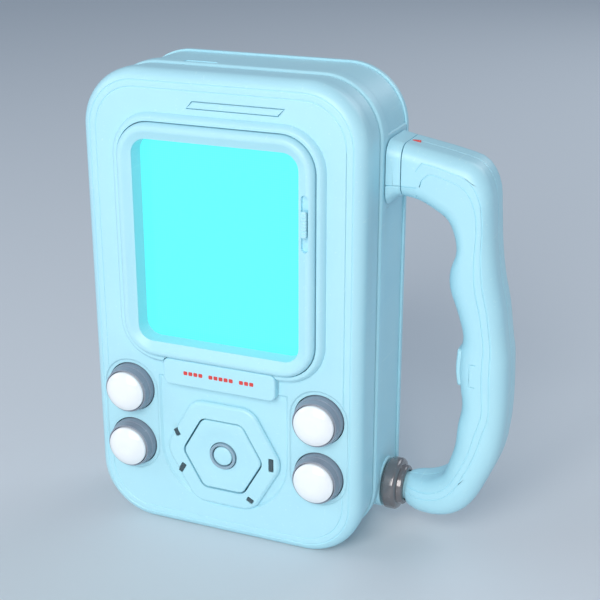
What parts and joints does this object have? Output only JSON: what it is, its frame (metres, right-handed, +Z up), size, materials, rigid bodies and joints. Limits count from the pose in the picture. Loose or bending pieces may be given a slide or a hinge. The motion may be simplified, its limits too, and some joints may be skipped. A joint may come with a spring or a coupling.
{
  "type": "personal digital assistant",
  "caption": "Upright handheld computer with a large screen, round keys, a hexagonal rocker pad and a contoured D-shaped side grip with trigger.",
  "frame": {"origin": "centre of the case's bottom face, which it stands on, midway between the front panel's face and the back face", "axes": "+Z up, the screen faces -Y, the grip is on the +X side"},
  "size_m": [0.1463, 0.0518, 0.1684],
  "materials": {
    "case_plastic": "satin moulded, pale ice blue",
    "key_white": "polished white",
    "collar_grey": "satin mid grey",
    "screen_glass": "polished touch lens over a lit cyan display",
    "display_glow": "lit cyan",
    "diffuser": "frosted white",
    "seal_rubber": "matt dark",
    "lamp_dark": "smoked, unlit",
    "board": "green solder mask",
    "steel": "plated",
    "dark_plastic": "black moulded",
    "nut_grey": "glossy warm grey",
    "lamp_red": "glossy red"
  },
  "bodies": {
    "case": {"front_shell": "case_plastic", "rear_shell": "case_plastic", "shell_gasket": "seal_rubber", "back_cover": "case_plastic", "battery_tray": "dark_plastic", "battery_pack": "dark_plastic", "speaker": "dark_plastic", "case_screw_1": "steel", "case_screw_2": "steel", "case_screw_3": "steel", "case_screw_4": "steel", "case_screw_5": "steel", "case_screw_6": "steel", "screen_bezel": "case_plastic", "screen_lens": "screen_glass", "display_panel": "display_glow", "backlight_plate": "diffuser", "nameplate": "case_plastic", "badge_strip": "case_plastic", "button_collar_1": "collar_grey", "button_switch_1": "dark_plastic", "button_collar_2": "collar_grey", "button_switch_2": "dark_plastic", "button_collar_3": "collar_grey", "button_switch_3": "dark_plastic", "button_collar_4": "collar_grey", "button_switch_4": "dark_plastic", "nav_ring": "case_plastic", "nav_switch": "dark_plastic", "nav_lamp_1": "lamp_dark", "nav_lamp_2": "lamp_dark", "nav_lamp_3": "lamp_dark", "nav_lamp_4": "lamp_dark", "main_board": "board", "processor_shield": "steel", "grip_root_block": "case_plastic", "grip_front_half": "case_plastic", "grip_rear_half": "case_plastic", "grip_screw_1": "steel", "grip_screw_2": "steel", "grip_screw_3": "steel", "trigger_switch": "dark_plastic", "arm_lamp": "lamp_red", "collar_stud": "steel"},
    "button_1": {"button_cap_1": "key_white"},
    "button_2": {"button_cap_2": "key_white"},
    "button_3": {"button_cap_3": "key_white"},
    "button_4": {"button_cap_4": "key_white"},
    "nav_cradle": {"nav_mat": "seal_rubber"},
    "nav_rocker": {"nav_pad": "case_plastic", "centre_ring": "collar_grey"},
    "centre_key": {"centre_button": "case_plastic"},
    "door": {"battery_door": "case_plastic"},
    "lock": {"door_lock": "steel"},
    "slider": {"bezel_slider": "case_plastic"},
    "trigger": {"grip_trigger": "case_plastic"},
    "collar": {"locking_collar": "nut_grey"}
  },
  "joints": [
    {"name": "button_1_press", "type": "slide", "parent": "case", "child": "button_1", "axis": [0, 1, 0], "range_m": [0, 0.0015], "stiffness_N_per_m": 900, "springref_m": -0.0003},
    {"name": "button_2_press", "type": "slide", "parent": "case", "child": "button_2", "axis": [0, 1, 0], "range_m": [0, 0.0015], "stiffness_N_per_m": 900, "springref_m": -0.0003},
    {"name": "button_3_press", "type": "slide", "parent": "case", "child": "button_3", "axis": [0, 1, 0], "range_m": [0, 0.0015], "stiffness_N_per_m": 900, "springref_m": -0.0003},
    {"name": "button_4_press", "type": "slide", "parent": "case", "child": "button_4", "axis": [0, 1, 0], "range_m": [0, 0.0015], "stiffness_N_per_m": 900, "springref_m": -0.0003},
    {"name": "nav_tilt_sideways", "type": "hinge", "parent": "case", "child": "nav_cradle", "pos_m": [0, -0.0203, 0.0326], "axis": [0, 0, 1], "range_deg": [-4, 4], "stiffness_Nm_per_rad": 0.5},
    {"name": "nav_tilt_updown", "type": "hinge", "parent": "nav_cradle", "child": "nav_rocker", "pos_m": [0, -0.0203, 0.0326], "axis": [1, 0, 0], "range_deg": [-4, 4], "stiffness_Nm_per_rad": 0.5},
    {"name": "centre_press", "type": "slide", "parent": "nav_rocker", "child": "centre_key", "axis": [0, 1, 0], "range_m": [0, 0.0008], "stiffness_N_per_m": 900, "springref_m": -0.0002},
    {"name": "battery_door_swing", "type": "hinge", "parent": "case", "child": "door", "pos_m": [0, 0.02115, 0.0232], "axis": [-1, 0, 0], "range_deg": [0, 90]},
    {"name": "door_lock_turn", "type": "hinge", "parent": "door", "child": "lock", "pos_m": [0, 0.02115, 0.093], "axis": [0, 1, 0], "range_deg": [0, 90]},
    {"name": "bezel_slider_slide", "type": "slide", "parent": "case", "child": "slider", "axis": [0, 0, 1], "range_m": [-0.0045, 0.0045]},
    {"name": "trigger_pull", "type": "slide", "parent": "case", "child": "trigger", "axis": [1, 0, 0], "range_m": [0, 0.002], "stiffness_N_per_m": 900, "springref_m": -0.0003},
    {"name": "locking_collar_turn", "type": "hinge", "parent": "case", "child": "collar", "pos_m": [0.0554, 0.0085, 0.0177], "axis": [1, 0, 0], "range_deg": [0, 90]}
  ]
}
